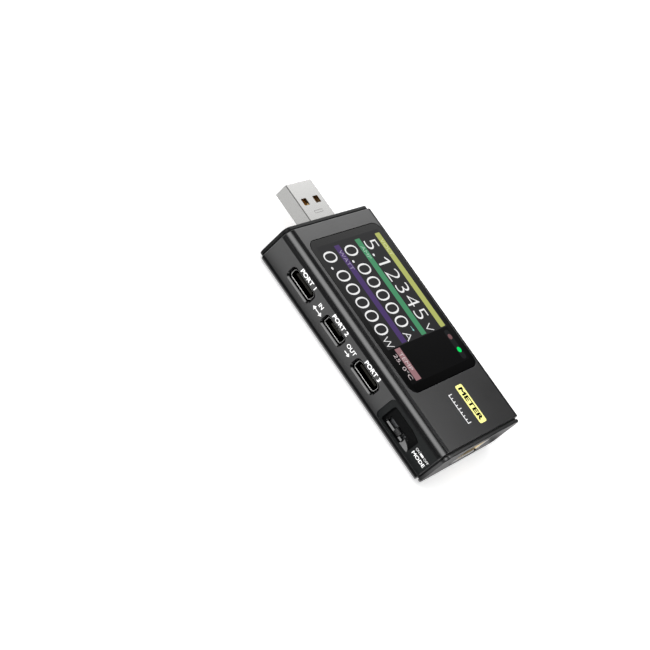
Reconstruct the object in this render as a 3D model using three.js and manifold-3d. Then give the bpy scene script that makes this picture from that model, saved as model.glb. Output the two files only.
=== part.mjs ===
// A handheld inline USB power meter: plug at -X, socket at +X, colour display facing +Z,
// three side ports and a slide switch on -Y, data port, thumb wheel and round button on +Y.
// Lengths are millimetres. Local x = 0 is the plug-side rim of the case, z = 0 is the back face.

import * as THREE from 'three';
import { mergeVertices } from 'three/addons/utils/BufferGeometryUtils.js';
import Module from 'manifold-3d';

const wasm = await Module();
wasm.setup();

// ---- driving dimensions -------------------------------------------------------------------

const bodyLength = 70.4;
const bodyWidth = 41.6;
const bodyHeight = 13.2;
const edgeRadius = 2.7;
const wall = 1.5;
const faceThickness = 1.8;
const seamZ = 2.7;
const seamGap = 0.05;
const halfWidth = bodyWidth / 2;
const innerWall = halfWidth - wall;
const innerTop = bodyHeight - faceThickness;

const capReach = 1.4;
const capInset = 0.6;
const capSpigot = 1.6;
const fit = 0.1;
const seat = 0.05;

const plugReach = 12.5;
const plugWidth = 12.0;
const plugHeight = 4.5;
const plugZ = 8.8;
const sheet = 0.3;
const innerCorner = 0.12;
const contactY = [-3.5, -1.0, 1.0, 3.5];
const contactWidth = 1.0;
const contactSheet = 0.2;

const socketZ = 6.6;
const socketWidth = 13.1;
const socketHeight = 5.7;
const socketDepth = 13.5;
const socketFlare = 0.7;

const boardBottom = 4.0;
const boardTop = 5.2;
const boardEdge = 18.9;
const partsOnBoard = boardTop + seat;

const lens = { x0: 4.6, x1: 53.0, y0: -16.8, y1: 18.0, radius: 3.0, floor: 12.0, top: 13.15 };
const lensWindow = { x0: 6.4, x1: 51.6, y0: -15.4, y1: 16.6, radius: 1.8 };
const lcd = { x0: 6.8, x1: 51.8, y0: -15.9, y1: 16.9, z0: 9.4, z1: 11.3 };

const recessDepth = 0.35;
const recessZ0 = 2.95;
const recessZ1 = 10.25;
const recessRadius = 1.4;
const panelY = halfWidth - recessDepth;
const switchRecessStart = 51.0;
const wheelRecessStart = 36.7;

const sidePortZ = 6.8;
const dataPortZ = 7.0;
const portMouthDepth = 0.8;
const typeC = { width: 8.94, height: 3.16, radius: 1.5, rim: 0.35, tongue: 6.7, length: 7.4 };
const microB = { width: 7.5, height: 2.6, radius: 0.75, rim: 0.3, tongue: 3.9, length: 5.6 };
const ports = [
  { name: 'port_1', kind: typeC, x: 12.9, z: sidePortZ, side: -1 },
  { name: 'port_2', kind: microB, x: 27.5, z: sidePortZ, side: -1 },
  { name: 'port_3', kind: typeC, x: 42.0, z: sidePortZ, side: -1 },
  { name: 'data_port', kind: microB, x: 13.2, z: dataPortZ, side: 1 },
];

const slideSwitch = { x: 57.4, z: 4.85, slotLength: 6.6, slotHeight: 1.8, knobX: 58.3, knobLength: 1.9 };
const pocket = { x0: 52.7, x1: 63.8, z0: 3.4, z1: 9.4, depth: 0.7, slope: 0.8, endSlope: 2.4 };

const wheel = { x: 47.2, z: 7.25, radius: 8.0, thickness: 2.4, top: halfWidth + 0.9, bore: 1.0 };
wheel.y = wheel.top - wheel.radius;
const wheelSlot = { x0: 39.8, x1: 54.7, height: 3.3 };
const pressTravel = 0.4;

const backButton = { x: 60.5, z: 7.3, radius: 2.85, flange: 0.7, stem: 1.0 };
const pinhole = { x: 33.0, z: 4.4, radius: 0.55 };

const screwX = [4.2, 66.1];
const screwY = 15.4;
const screw = { head: 1.9, headHeight: 1.0, shank: 0.95, length: 6.4, recess: 2.1, sink: 0.35, boss: 2.3 };

const label = { x0: 11.3, x1: 42.5, halfY: 13.0, radius: 3.0, depth: 0.3, border: 1.4, sheet: 0.2 };

// ---- materials ----------------------------------------------------------------------------

function finish(color, roughness, metalness) {
  return new THREE.MeshStandardMaterial({ color, roughness, metalness });
}

const look = {
  shell: finish(0x24262a, 0.45, 0.0),
  cap: finish(0x2b2d31, 0.5, 0.0),
  lens: finish(0x0b0b0c, 0.08, 0.0),
  gasket: finish(0x151515, 0.9, 0.0),
  glass: finish(0x303234, 0.2, 0.0),
  whiteFrame: finish(0xd8d9d6, 0.5, 0.0),
  flex: finish(0xb5651d, 0.5, 0.0),
  connector: finish(0xe4dccb, 0.6, 0.0),
  board: finish(0x12391f, 0.5, 0.0),
  steel: finish(0xd5d5d2, 0.28, 1.0),
  darkSteel: finish(0x55585c, 0.35, 1.0),
  darkPlastic: finish(0x17181a, 0.6, 0.0),
  orangePlastic: finish(0xd98a2b, 0.5, 0.0),
  gold: finish(0xd9a441, 0.3, 1.0),
  key: finish(0x1c1e20, 0.5, 0.0),
  label: finish(0x4c4e50, 0.6, 0.0),
  chip: finish(0x1a1a1c, 0.6, 0.0),
  ferrite: finish(0x3a3a3c, 0.7, 0.0),
};

// ---- shapes and booleans ------------------------------------------------------------------

const arcSteps = 5;
const alongX = new THREE.Matrix4().makeBasis(
  new THREE.Vector3(0, 1, 0), new THREE.Vector3(0, 0, 1), new THREE.Vector3(1, 0, 0));
const alongMinusY = new THREE.Matrix4().makeBasis(
  new THREE.Vector3(1, 0, 0), new THREE.Vector3(0, 0, 1), new THREE.Vector3(0, -1, 0));

// A rectangle with round corners, between two corners of the sketch plane.
function roundedRect(u0, u1, v0, v1, radius) {
  const shape = new THREE.Shape();
  shape.absarc(u1 - radius, v0 + radius, radius, -Math.PI / 2, 0, false);
  shape.absarc(u1 - radius, v1 - radius, radius, 0, Math.PI / 2, false);
  shape.absarc(u0 + radius, v1 - radius, radius, Math.PI / 2, Math.PI, false);
  shape.absarc(u0 + radius, v0 + radius, radius, Math.PI, Math.PI * 1.5, false);
  shape.closePath();
  return shape;
}

function polygon(points) {
  return new THREE.Shape(points.map(([u, v]) => new THREE.Vector2(u, v)));
}

function extrude(shape, depth, steps = arcSteps) {
  return new THREE.ExtrudeGeometry(shape, { depth, bevelEnabled: false, curveSegments: steps });
}

// Sketch (y, z), swept from x0 to x1.
function sweepX(shape, x0, x1, steps) {
  return extrude(shape, x1 - x0, steps).applyMatrix4(alongX).translate(x0, 0, 0);
}

// Sketch (x, z), swept from y0 to y1.
function sweepY(shape, y0, y1, steps) {
  return extrude(shape, y1 - y0, steps).applyMatrix4(alongMinusY).translate(0, y1, 0);
}

// Sketch (x, y), swept from z0 to z1.
function sweepZ(shape, z0, z1, steps) {
  return extrude(shape, z1 - z0, steps).translate(0, 0, z0);
}

function block(x0, x1, y0, y1, z0, z1) {
  const box = new THREE.BoxGeometry(x1 - x0, y1 - y0, z1 - z0);
  return box.translate((x0 + x1) / 2, (y0 + y1) / 2, (z0 + z1) / 2);
}

// A round bar along z.
function barZ(x, y, z0, z1, radius, sides = 20) {
  const bar = new THREE.CylinderGeometry(radius, radius, z1 - z0, sides);
  return bar.rotateX(Math.PI / 2).translate(x, y, (z0 + z1) / 2);
}

// A round bar along y.
function barY(x, z, y0, y1, radius, sides = 24) {
  return new THREE.CylinderGeometry(radius, radius, y1 - y0, sides).translate(x, (y0 + y1) / 2, z);
}

function solid(geometry) {
  const bare = geometry.clone();
  bare.deleteAttribute('normal');
  bare.deleteAttribute('uv');
  const merged = mergeVertices(bare, 1e-4);
  const mesh = new wasm.Mesh({
    numProp: 3,
    vertProperties: new Float32Array(merged.attributes.position.array),
    triVerts: new Uint32Array(merged.index.array),
  });
  return new wasm.Manifold(mesh);
}

function surface(manifold) {
  const mesh = manifold.getMesh();
  const geometry = new THREE.BufferGeometry();
  geometry.setAttribute('position', new THREE.BufferAttribute(mesh.vertProperties, 3));
  geometry.setIndex(new THREE.BufferAttribute(mesh.triVerts, 1));
  geometry.computeVertexNormals();
  return geometry;
}

function join(...geometries) {
  return surface(geometries.map(solid).reduce((whole, piece) => whole.add(piece)));
}

function cut(base, ...tools) {
  return surface(tools.map(solid).reduce((whole, tool) => whole.subtract(tool), solid(base)));
}

function common(a, b) {
  return surface(solid(a).intersect(solid(b)));
}

const meter = new THREE.Group();

function place(name, geometry, material) {
  const mesh = new THREE.Mesh(geometry, material);
  mesh.name = name;
  meter.add(mesh);
  return mesh;
}

// ---- case ---------------------------------------------------------------------------------

// Cross-section of the case, drawn inwards by inset.
function caseSection(inset) {
  const radius = edgeRadius - inset;
  return roundedRect(-halfWidth + inset, halfWidth - inset, inset, bodyHeight - inset, radius);
}

function screwSpots() {
  return screwX.flatMap((x) => [-screwY, screwY].map((y) => ({ x, y })));
}

// The shallow recess that runs to the socket end on one side.
function sideRecess(side, start) {
  const outline = roundedRect(start, bodyLength + 5, recessZ0, recessZ1, recessRadius);
  const edges = [side * panelY, side * (halfWidth + 1)].sort((a, b) => a - b);
  return sweepY(outline, edges[0], edges[1]);
}

// Port hole through the side wall, with a wider step at its mouth.
function portHole(port) {
  const { width, height } = port.kind;
  const hole = obround(port.x, port.z, width + 0.35, height + 0.35, port.kind.radius + 0.17);
  const mouth = obround(port.x, port.z, width + 1.0, height + 0.8, port.kind.radius + 0.4);
  const outer = port.side * (halfWidth + 1);
  const through = port.side * (innerWall - 1);
  const step = port.side * (halfWidth - 0.45);
  return [between(hole, through, outer), between(mouth, step, outer)];
}

function obround(x, z, width, height, radius) {
  return roundedRect(x - width / 2, x + width / 2, z - height / 2, z + height / 2, radius);
}

function between(shape, ya, yb, steps) {
  return sweepY(shape, Math.min(ya, yb), Math.max(ya, yb), steps);
}

// The scooped pocket around the slide switch: a floor with four sloping sides.
function switchPocket() {
  const outer = -halfWidth - 0.5;
  const floor = -panelY + pocket.depth;
  const drop = (floor - outer) / pocket.depth;
  const plan = polygon([
    [pocket.x0 - 0.2, outer],
    [pocket.x0 + pocket.slope, floor],
    [pocket.x1 - pocket.endSlope, floor],
    [pocket.x1 - pocket.endSlope + pocket.endSlope * drop, outer],
  ].reverse());
  const section = polygon([
    [outer, pocket.z0 - pocket.slope * (drop - 1)],
    [outer, pocket.z1 + pocket.slope * (drop - 1)],
    [floor, pocket.z1 - pocket.slope],
    [floor, pocket.z0 + 0.3],
  ].reverse());
  return common(sweepZ(plan, recessZ0, recessZ1), sweepX(section, pocket.x0 - 1, pocket.x1 + 6));
}

function frontHousing() {
  const hull = sweepX(caseSection(0), 0, bodyLength, 7);
  const inside = roundedRect(-innerWall, innerWall, -1, innerTop, 1.0);
  const lensPocket = roundedRect(lens.x0 - fit, lens.x1 + fit, lens.y0 - fit, lens.y1 + fit, lens.radius + fit);
  const opening = roundedRect(lensWindow.x0, lensWindow.x1, lensWindow.y0, lensWindow.y1, lensWindow.radius);
  const wheelHole = obround((wheelSlot.x0 + wheelSlot.x1) / 2, wheel.z,
    wheelSlot.x1 - wheelSlot.x0, wheelSlot.height, wheelSlot.height / 2);
  const slot = obround(slideSwitch.x, slideSwitch.z, slideSwitch.slotLength, slideSwitch.slotHeight, 0.3);
  const shell = cut(
    hull,
    block(-1, bodyLength + 1, -halfWidth - 1, halfWidth + 1, -1, seamZ + seamGap),
    sweepX(inside, -1, bodyLength + 1, 3),
    sweepZ(lensPocket, lens.floor, bodyHeight + 1),
    sweepZ(opening, innerTop - 1, bodyHeight + 1),
    sideRecess(-1, switchRecessStart),
    sideRecess(1, wheelRecessStart),
    ...ports.flatMap(portHole),
    switchPocket(),
    between(slot, -innerWall + 1, -halfWidth - 1, 3),
    between(wheelHole, innerWall - 1, halfWidth + 1, 8),
    barY(backButton.x, backButton.z, innerWall - 1, halfWidth + 1, backButton.radius + fit, 32),
    barY(pinhole.x, pinhole.z, innerWall - 1, halfWidth + 1, pinhole.radius, 12),
  );
  const bosses = screwSpots().map(({ x, y }) => barZ(x, y, seamZ + seamGap, innerTop + 0.2, screw.boss));
  const bores = screwSpots().map(({ x, y }) => barZ(x, y, seamZ - 1, innerTop - 0.8, screw.shank + seat));
  return cut(join(shell, ...bosses), ...bores);
}

function backCover() {
  const hull = sweepX(caseSection(0), 0, bodyLength, 7);
  const trim = block(-1, bodyLength + 1, -halfWidth - 1, halfWidth + 1, seamZ, bodyHeight + 1);
  const inside = roundedRect(-innerWall, innerWall, wall, bodyHeight, 1.0);
  const tray = roundedRect(label.x0, label.x1, -label.halfY, label.halfY, label.radius);
  const seats = screwSpots().map(({ x, y }) => barZ(x, y, wall - 0.5, seamZ, screw.boss));
  const shell = join(cut(hull, trim, sweepX(inside, -1, bodyLength + 1, 3)), ...seats);
  const cone = (x, y) => {
    const height = screw.headHeight + 0.1;
    const sink = new THREE.CylinderGeometry(screw.shank + 0.15, screw.recess, height, 24);
    return sink.rotateX(Math.PI / 2).translate(x, y, screw.sink + height / 2);
  };
  return cut(
    shell,
    sweepZ(tray, -1, label.depth),
    ...screwSpots().map(({ x, y }) => barZ(x, y, -1, screw.sink + 0.01, screw.recess, 24)),
    ...screwSpots().map(({ x, y }) => cone(x, y)),
    ...screwSpots().map(({ x, y }) => barZ(x, y, -1, seamZ + 1, screw.shank + 0.15)),
  );
}

// End plate: a stepped outer plate and a spigot that fits inside the two case halves.
function endPlate(outward, hole) {
  const inner = outward > 0 ? bodyLength : 0;
  const sorted = (a, b) => [Math.min(a, b), Math.max(a, b)];
  const [p0, p1] = sorted(inner + outward * seat, inner + outward * capReach);
  const [s0, s1] = sorted(inner + outward * (seat + 0.1), inner - outward * capSpigot);
  const outline = caseSection(capInset);
  const spigot = roundedRect(-innerWall + fit, innerWall - fit, wall + fit, innerTop - fit, 0.9);
  return cut(join(sweepX(outline, p0, p1, 5), sweepX(spigot, s0, s1, 3)), hole);
}

function plugEndPlate() {
  const halfSlotY = plugWidth / 2 + fit;
  const halfSlotZ = plugHeight / 2 + fit;
  const hole = block(-5, 5, -halfSlotY, halfSlotY, plugZ - halfSlotZ, plugZ + halfSlotZ);
  return endPlate(-1, hole);
}

function socketEndPlate() {
  const halfY = socketWidth / 2 + socketFlare + fit;
  const halfZ = socketHeight / 2 + socketFlare + fit;
  const hole = block(bodyLength - 5, bodyLength + 5, -halfY, halfY, socketZ - halfZ, socketZ + halfZ);
  return endPlate(1, hole);
}

// A countersunk screw with a cross recess, entering from the back.
function caseScrew({ x, y }) {
  const profile = [
    [0, 0], [screw.head, 0], [screw.head, 0.05], [screw.shank, screw.headHeight],
    [screw.shank, screw.length - 0.6], [0.3, screw.length], [0, screw.length],
  ];
  const lathe = new THREE.LatheGeometry(profile.map(([r, h]) => new THREE.Vector2(r, h)), 20);
  const body = lathe.rotateX(Math.PI / 2).translate(x, y, screw.sink + seat);
  const depth = screw.sink + seat + 0.6;
  const bars = [block(x - 1.1, x + 1.1, y - 0.25, y + 0.25, -1, depth),
    block(x - 0.25, x + 0.25, y - 1.1, y + 1.1, -1, depth)];
  return cut(body, ...bars);
}

function ratingLabel() {
  const { x0, x1, halfY, radius, border } = label;
  const outline = roundedRect(x0 + border, x1 - border, -halfY + border, halfY - border, radius - border);
  return sweepZ(outline, label.depth - seat - label.sheet, label.depth - seat);
}

place('front_housing', frontHousing(), look.shell);
place('back_cover', backCover(), look.shell);
place('plug_end_plate', plugEndPlate(), look.cap);
place('socket_end_plate', socketEndPlate(), look.cap);
place('rating_label', ratingLabel(), look.label);
screwSpots().forEach((spot, i) => place(`case_screw_${i + 1}`, caseScrew(spot), look.darkSteel));

// ---- display ------------------------------------------------------------------------------

function lensPlate() {
  return sweepZ(roundedRect(lens.x0, lens.x1, lens.y0, lens.y1, lens.radius), lens.floor + 0.25, lens.top);
}

function lensGasket() {
  const outer = roundedRect(lens.x0 + 0.1, lens.x1 - 0.1, lens.y0 + 0.1, lens.y1 - 0.1, lens.radius);
  const inner = roundedRect(lensWindow.x0, lensWindow.x1, lensWindow.y0, lensWindow.y1, lensWindow.radius);
  const zBottom = lens.floor + 0.03;
  return cut(sweepZ(outer, zBottom, zBottom + 0.18), sweepZ(inner, lens.floor - 1, lens.floor + 1));
}

function lcdTray() {
  const rim = 0.7;
  const outer = block(lcd.x0, lcd.x1, lcd.y0, lcd.y1, lcd.z0, lcd.z1);
  return cut(outer, block(lcd.x0 + rim, lcd.x1 - rim, lcd.y0 + rim, lcd.y1 - rim, lcd.z0 + 0.5, lcd.z1 + 1));
}

function lcdGlass() {
  const rim = 0.8;
  return block(lcd.x0 + rim, lcd.x1 - rim, lcd.y0 + rim, lcd.y1 - rim, lcd.z0 + 0.55, lcd.z1 - seat);
}

// The ribbon leaves the display's socket-side edge and folds back down to the board.
function lcdRibbon() {
  const bendX = lcd.x1 + 0.5;
  const outer = 2.0;
  const thickness = 0.15;
  const upper = lcd.z0 + 0.6;
  const centre = upper - outer;
  const shape = new THREE.Shape();
  shape.moveTo(lcd.x1 + seat, upper);
  shape.absarc(bendX, centre, outer, Math.PI / 2, -Math.PI / 2, true);
  shape.lineTo(bendX - 1.6, centre - outer);
  shape.lineTo(bendX - 1.6, centre - outer + thickness);
  shape.absarc(bendX, centre, outer - thickness, -Math.PI / 2, Math.PI / 2, false);
  shape.lineTo(lcd.x1 + seat, upper - thickness);
  shape.closePath();
  return sweepY(shape, -8, 8, 6);
}

place('display_lens', lensPlate(), look.lens);
place('lens_gasket', lensGasket(), look.gasket);
place('lcd_tray', lcdTray(), look.whiteFrame);
place('lcd_glass', lcdGlass(), look.glass);
place('lcd_ribbon', lcdRibbon(), look.flex);
place('lcd_connector', block(47.6, 50.6, -8.5, 8.5, partsOnBoard, partsOnBoard + 1.2), look.connector);

// ---- main board and its components --------------------------------------------------------

function mainBoard() {
  const sheetOfBoard = block(2.0, bodyLength - 2.0, -boardEdge, boardEdge, boardBottom, boardTop);
  const notches = screwSpots().map(({ x, y }) => {
    const outerX = x < bodyLength / 2 ? -1 : bodyLength + 1;
    const innerX = x < bodyLength / 2 ? x + 2.8 : x - 2.8;
    const near = Math.abs(y) - 2.8;
    const ySpan = y < 0 ? [-boardEdge - 1, -near] : [near, boardEdge + 1];
    return block(Math.min(outerX, innerX), Math.max(outerX, innerX), ySpan[0], ySpan[1], 0, bodyHeight);
  });
  const socketBay = block(56.4, bodyLength + 1, -7.7, 7.7, 0, bodyHeight);
  const switchBay = block(52.9, 62.1, -boardEdge - 1, -15.2, 0, bodyHeight);
  const button = backButton;
  const buttonBay = block(button.x - 3.9, button.x + 3.9, innerWall - 1.6, innerWall, 0, bodyHeight);
  return cut(sheetOfBoard, ...notches, socketBay, switchBay, buttonBay);
}

place('main_board', mainBoard(), look.board);

// Flat packages soldered to the top of the board: where each starts, and its size.
const packages = [
  { name: 'processor_chip', x: 21, y: -4.5, size: [7, 7, 0.9], material: look.chip },
  { name: 'protocol_chip', x: 13, y: 3, size: [4, 4, 0.8], material: look.chip },
  { name: 'timing_crystal', x: 30, y: -1.5, size: [3.2, 2.5, 0.8], material: look.steel },
  { name: 'shunt_resistor', x: 36, y: -4, size: [6.3, 3.2, 0.9], material: look.darkPlastic },
];

packages.forEach(({ name, x, y, size, material }) => {
  const [length, width, height] = size;
  place(name, block(x, x + length, y, y + width, partsOnBoard, partsOnBoard + height), material);
});

const inductor = { x: 38, y: 6, side: 6, corner: 1.2, height: 3.0, dish: 1.8, dishDepth: 0.5 };

function powerInductor() {
  const { x, y, side, corner, height, dish, dishDepth } = inductor;
  const outline = roundedRect(x - side / 2, x + side / 2, y - side / 2, y + side / 2, corner);
  const top = partsOnBoard + height;
  return cut(sweepZ(outline, partsOnBoard, top, 3), barZ(x, y, top - dishDepth, top + 1, dish));
}

place('power_inductor', powerInductor(), look.ferrite);

// ---- plug ---------------------------------------------------------------------------------

const plugTip = -capReach - plugReach;
const plugRear = 5.0;

function plugShell() {
  const outer = roundedRect(-plugWidth / 2, plugWidth / 2, plugZ - plugHeight / 2, plugZ + plugHeight / 2, 0.5);
  const inner = roundedRect(-plugWidth / 2 + sheet, plugWidth / 2 - sheet,
    plugZ - plugHeight / 2 + sheet, plugZ + plugHeight / 2 - sheet, innerCorner);
  const windowX = -7.7;
  const windows = [-2.75, 2.75].map((y) => block(windowX - 1.1, windowX + 1.1, y - 1.2, y + 1.2, 0, 20));
  return cut(sweepX(outer, plugTip, plugRear, 3), sweepX(inner, plugTip - 1, plugRear + 1, 3), ...windows);
}

// The plug's tongue lies on the back wall of the shell, with its contacts on top of it.
const tongueUnder = plugZ - plugHeight / 2 + sheet + seat;
const tongueTop = tongueUnder + 1.8;
const insulatorTop = plugZ + plugHeight / 2 - sheet - seat;

function plugInsulator() {
  const halfY = plugWidth / 2 - sheet - seat;
  const tongue = block(plugTip + 0.4, 0, -halfY, halfY, tongueUnder, tongueTop);
  const rear = block(-0.5, plugRear + 0.05, -halfY, halfY, tongueUnder, insulatorTop);
  const foot = block(plugRear + 0.05, plugRear + 1.4, -halfY, halfY, partsOnBoard, insulatorTop);
  return join(tongue, rear, foot);
}

function plugContact(y) {
  const under = tongueTop + seat;
  return block(plugTip + 1.2, -0.6, y - contactWidth / 2, y + contactWidth / 2, under, under + contactSheet);
}

place('plug_shell', plugShell(), look.steel);
place('plug_insulator', plugInsulator(), look.orangePlastic);
contactY.forEach((y, i) => place(`plug_contact_${i + 1}`, plugContact(y), look.gold));

// ---- socket -------------------------------------------------------------------------------

const socketMouth = bodyLength + capReach - 0.1;
const socketRear = socketMouth - socketDepth;

function socketShell() {
  const halfY = socketWidth / 2;
  const halfZ = socketHeight / 2;
  const outline = (grow) => roundedRect(-halfY - grow, halfY + grow,
    socketZ - halfZ - grow, socketZ + halfZ + grow, Math.max(innerCorner, 0.4 + grow));
  const lip = socketMouth - 0.35;
  const tube = sweepX(outline(0), socketRear, socketMouth, 3);
  const flare = sweepX(outline(socketFlare), lip, socketMouth, 3);
  const inside = sweepX(outline(-sheet), socketRear - 1, socketMouth + 1, 3);
  const notch = block(lip - 0.8, socketMouth + 1, -0.45, 0.45, 0, 20);
  return cut(join(tube, flare), inside, notch);
}

const socketTongueZ = socketZ + 0.9;
const socketTongueHalf = 0.92;

function socketTongue() {
  const halfY = socketWidth / 2 - sheet - seat;
  const halfZ = socketHeight / 2 - sheet - seat;
  const rear = block(socketRear + 0.3, socketRear + 3.2, -halfY, halfY, socketZ - halfZ, socketZ + halfZ);
  const tongue = block(socketRear + 3, socketMouth - 2.4, -5.5, 5.5,
    socketTongueZ - socketTongueHalf, socketTongueZ + socketTongueHalf);
  return join(rear, tongue);
}

function socketContact(y) {
  const top = socketTongueZ - socketTongueHalf - seat;
  return block(socketRear + 3.3, socketMouth - 3.2, y - contactWidth / 2, y + contactWidth / 2,
    top - contactSheet, top);
}

place('socket_shell', socketShell(), look.steel);
place('socket_tongue', socketTongue(), look.orangePlastic);
contactY.forEach((y, i) => place(`socket_contact_${i + 1}`, socketContact(y), look.gold));

// ---- side ports ---------------------------------------------------------------------------

function portShell(port) {
  const { width, height, radius, rim, length } = port.kind;
  const mouth = port.side * (halfWidth - portMouthDepth);
  const rear = mouth - port.side * length;
  const outer = obround(port.x, port.z, width, height, radius);
  const inner = obround(port.x, port.z, width - 2 * rim, height - 2 * rim, radius - rim);
  return cut(between(outer, mouth, rear, 6), between(inner, mouth + port.side, rear - port.side, 6));
}

function portTongue(port) {
  const { width, height, radius, rim, length, tongue } = port.kind;
  const gap = rim + seat;
  const mouth = port.side * (halfWidth - portMouthDepth);
  const rear = mouth - port.side * length;
  const plug = obround(port.x, port.z, width - 2 * gap, height - 2 * gap, radius - gap);
  const blade = obround(port.x, port.z, tongue, 0.7, 0.12);
  const plugFront = rear + port.side * 1.6;
  return join(
    between(plug, rear + port.side * 0.1, plugFront, 6),
    between(blade, rear + port.side * 1.2, mouth - port.side * 0.9, 2));
}

ports.forEach((port) => {
  place(`${port.name}_shell`, portShell(port), look.steel);
  place(`${port.name}_tongue`, portTongue(port), look.darkPlastic);
});

// ---- slide switch -------------------------------------------------------------------------

const switchFront = -innerWall + fit;
const switchRear = switchFront + 3.6;

function slideSwitchBody() {
  const { x, z, slotLength, slotHeight } = slideSwitch;
  const can = block(x - 4.2, x + 4.2, switchFront, switchRear, z - 1.35, z + 1.35);
  const cavityFront = switchFront + 0.5;
  const cavity = block(x - slotLength / 2, x + slotLength / 2, cavityFront, cavityFront + 1.3,
    z - 1.05, z + 1.05);
  const slot = block(x - slotLength / 2, x + slotLength / 2, switchFront - 1, cavityFront + 0.5,
    z - slotHeight / 2, z + slotHeight / 2);
  return cut(can, cavity, slot);
}

function slideSwitchKnob() {
  const { knobX, z, slotHeight, knobLength } = slideSwitch;
  const half = slotHeight / 2 - fit;
  const cavityFront = switchFront + 0.5;
  const stem = block(knobX - knobLength / 2, knobX + knobLength / 2, -panelY + 0.15, cavityFront + 0.4,
    z - half, z + half);
  const slider = block(knobX - 1.4, knobX + 1.4, cavityFront + 0.05, cavityFront + 1.25, z - 1.0, z + 1.0);
  return join(stem, slider);
}

place('slide_switch_body', slideSwitchBody(), look.darkSteel);
place('slide_switch_knob', slideSwitchKnob(), look.key);

// ---- thumb wheel --------------------------------------------------------------------------

const carrierTop = wheel.z - wheel.thickness / 2 - seat;
const carrierBottom = carrierTop - 0.4;
const baseTop = carrierBottom - seat;

// A fan-shaped thumb piece: two ribbed arcs with a smooth land between them, on a round hub.
function thumbWheel() {
  const landHalf = 0.16;
  const fanHalf = 0.86;
  const ribPitch = 0.1;
  const groove = 0.4;
  const points = [];
  const arcPoint = (radius, angle) => {
    points.push([wheel.x + radius * Math.sin(angle), wheel.y + radius * Math.cos(angle)]);
  };
  const ribbedArc = (direction) => {
    const angles = [];
    for (let a = landHalf; a < fanHalf - ribPitch / 2; a += ribPitch) {
      angles.push([wheel.radius, a], [wheel.radius - groove, a + ribPitch * 0.1]);
      angles.push([wheel.radius - groove, a + ribPitch * 0.45], [wheel.radius, a + ribPitch * 0.55]);
    }
    angles.push([wheel.radius, fanHalf]);
    if (direction < 0) {
      angles.reverse();
    }
    angles.forEach(([radius, a]) => arcPoint(radius, direction * a));
  };
  ribbedArc(-1);
  arcPoint(wheel.radius, 0);
  ribbedArc(1);
  const hub = 2.2;
  for (let a = 1.2; a <= 5.1; a += 0.39) {
    arcPoint(hub, a);
  }
  const fan = sweepZ(polygon(points.reverse()), wheel.z - wheel.thickness / 2, wheel.z + wheel.thickness / 2);
  return cut(fan, barZ(wheel.x, wheel.y, 0, bodyHeight, wheel.bore, 24));
}

function wheelCarrier() {
  const plate = block(wheel.x - 3.4, wheel.x + 3.4, wheel.y - 2.6, wheel.y + 2.4, carrierBottom, carrierTop);
  const pinTop = wheel.z + wheel.thickness / 2 + 0.4;
  const pin = barZ(wheel.x, wheel.y, carrierBottom + 0.1, pinTop, wheel.bore - seat, 24);
  return join(plate, pin);
}

function wheelSwitchBase() {
  const railOut = 4.4;
  const railIn = 3.4 + seat;
  const rear = wheel.y - 2.6 - pressTravel - 0.1;
  const front = wheel.y + 3.2;
  const floor = block(wheel.x - railOut, wheel.x + railOut, rear - 0.8, front, partsOnBoard, baseTop);
  const rails = [-1, 1].map((side) => {
    const edges = [wheel.x + side * railIn, wheel.x + side * railOut].sort((a, b) => a - b);
    return block(edges[0], edges[1], rear - 0.8, front, partsOnBoard, carrierTop - seat);
  });
  const back = block(wheel.x - railOut, wheel.x + railOut, rear - 0.8, rear, partsOnBoard, carrierTop - seat);
  return join(floor, ...rails, back);
}

place('wheel_switch_base', wheelSwitchBase(), look.darkPlastic);
place('wheel_carrier', wheelCarrier(), look.darkPlastic);
place('thumb_wheel', thumbWheel(), look.key);

// ---- round button -------------------------------------------------------------------------

const buttonStemEnd = innerWall - 2.4;

function buttonCap() {
  const { x, z, radius, flange, stem } = backButton;
  const face = panelY - 0.03;
  const ring = barY(x, z, innerWall - 1.0, innerWall - fit, radius + flange, 32);
  const cap = barY(x, z, innerWall - 0.6, face, radius, 32);
  const post = barY(x, z, buttonStemEnd, innerWall - 0.8, stem, 16);
  const dimple = new THREE.SphereGeometry(1.3, 20, 12).translate(x, face + 0.95, z);
  return cut(join(ring, cap, post), dimple);
}

function buttonSwitchBody() {
  const { x, z } = backButton;
  const front = buttonStemEnd - 0.9;
  const body = block(x - 2.25, x + 2.25, front - 3.0, front, partsOnBoard, partsOnBoard + 3.6);
  return cut(body, barY(x, z, front - 1.6, front + 1, 0.95, 16));
}

function buttonPlunger() {
  const { x, z } = backButton;
  const front = buttonStemEnd - 0.9;
  return barY(x, z, front - 1.1, buttonStemEnd - seat, 0.88, 16);
}

place('back_switch_body', buttonSwitchBody(), look.darkSteel);
place('back_switch_plunger', buttonPlunger(), look.key);
place('back_button', buttonCap(), look.key);

// ---- row frame: origin under the middle of the whole meter --------------------------------

meter.position.set(-(bodyLength - plugReach) / 2, -(wheel.top - halfWidth) / 2, 0);

export default meter;
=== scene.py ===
"""Looks of a handheld inline USB power meter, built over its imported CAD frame.

Shapes are written in millimetres on the meter's own axes: x = 0 at the plug-side rim of the case,
y = 0 at the middle of the case, z = 0 on the back face. They are turned into metres of the row frame
where each piece is made.
"""

import math

import bmesh
import bpy
from mathutils import Matrix, Vector


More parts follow.
